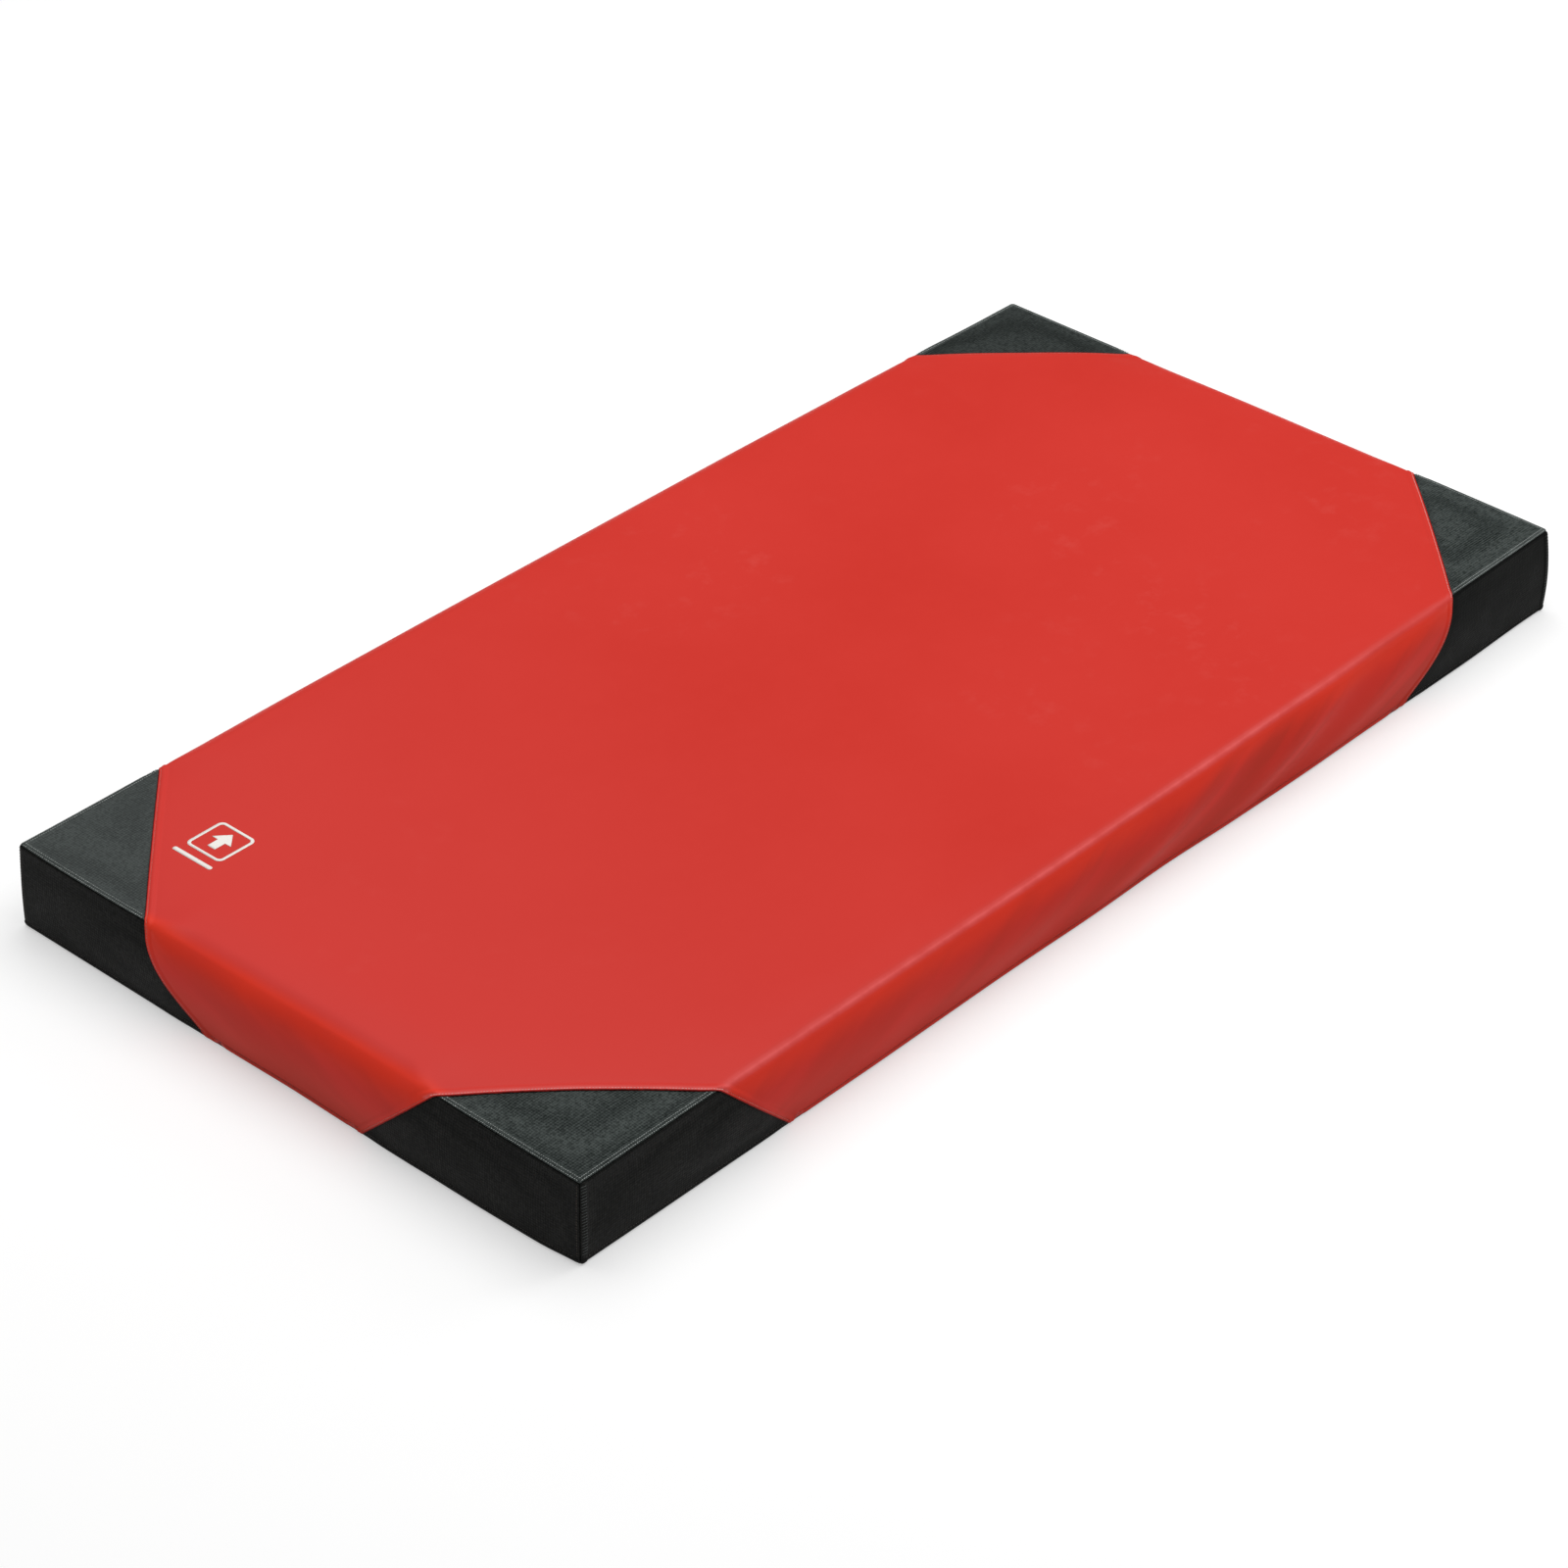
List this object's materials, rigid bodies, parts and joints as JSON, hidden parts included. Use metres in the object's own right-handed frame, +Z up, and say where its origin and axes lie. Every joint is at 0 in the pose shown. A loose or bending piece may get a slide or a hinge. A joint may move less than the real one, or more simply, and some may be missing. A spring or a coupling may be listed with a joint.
{
  "type": "gymnastics landing mat",
  "caption": "Flat rectangular landing mat: a foam block in a red coated cover with black reinforced corners, a non-slip underside and a long zip in the rear wall.",
  "frame": {"origin": "middle of the underside, on the floor", "axes": "+X along the 2 m length, +Y across the width towards the wall with the zip, +Z up"},
  "size_m": [2.0012, 1.0076, 0.1306],
  "materials": {
    "foam": "matte",
    "red_vinyl": "satin",
    "black_vinyl": "satin",
    "base_vinyl": "matte",
    "zip_tape": "matte",
    "zip_coil": "satin",
    "zip_metal": "satin",
    "thread": "matte"
  },
  "bodies": {
    "mat": {"foam_core": "foam", "red_cover_sheet": "red_vinyl", "corner_front_left_top": "black_vinyl", "corner_front_left_long_side": "black_vinyl", "corner_front_left_short_side": "black_vinyl", "corner_front_right_top": "black_vinyl", "corner_front_right_long_side": "black_vinyl", "corner_front_right_short_side": "black_vinyl", "corner_rear_left_top": "black_vinyl", "corner_rear_left_long_side": "black_vinyl", "corner_rear_left_short_side": "black_vinyl", "corner_rear_right_top": "black_vinyl", "corner_rear_right_long_side": "black_vinyl", "corner_rear_right_short_side": "black_vinyl", "base_sheet": "base_vinyl", "zip_tape_upper": "zip_tape", "zip_tape_lower": "zip_tape", "zip_coil_upper": "zip_coil", "zip_coil_lower": "zip_coil", "zip_top_stops": "zip_metal", "zip_bottom_stop": "zip_metal", "zip_end_patch_left": "black_vinyl", "zip_end_patch_right": "black_vinyl", "thread_main_seams": "thread", "thread_base_seam": "thread", "thread_corner_seams": "thread", "thread_zip_seams": "thread"},
    "zip_slider": {"zip_slider": "zip_metal"},
    "zip_pull": {"zip_pull_tab": "zip_metal"}
  },
  "joints": [
    {"name": "zip_slider_travel", "type": "slide", "parent": "mat", "child": "zip_slider", "axis": [1, 0, 0], "range_m": [-1.271, 0], "deforming": ["zip_coil_upper", "zip_coil_lower"]},
    {"name": "zip_pull_swing", "type": "hinge", "parent": "zip_slider", "child": "zip_pull", "pos_m": [0.641, 0.5042, 0.065], "axis": [0, 0, -1], "range_deg": [0, 180]}
  ]
}
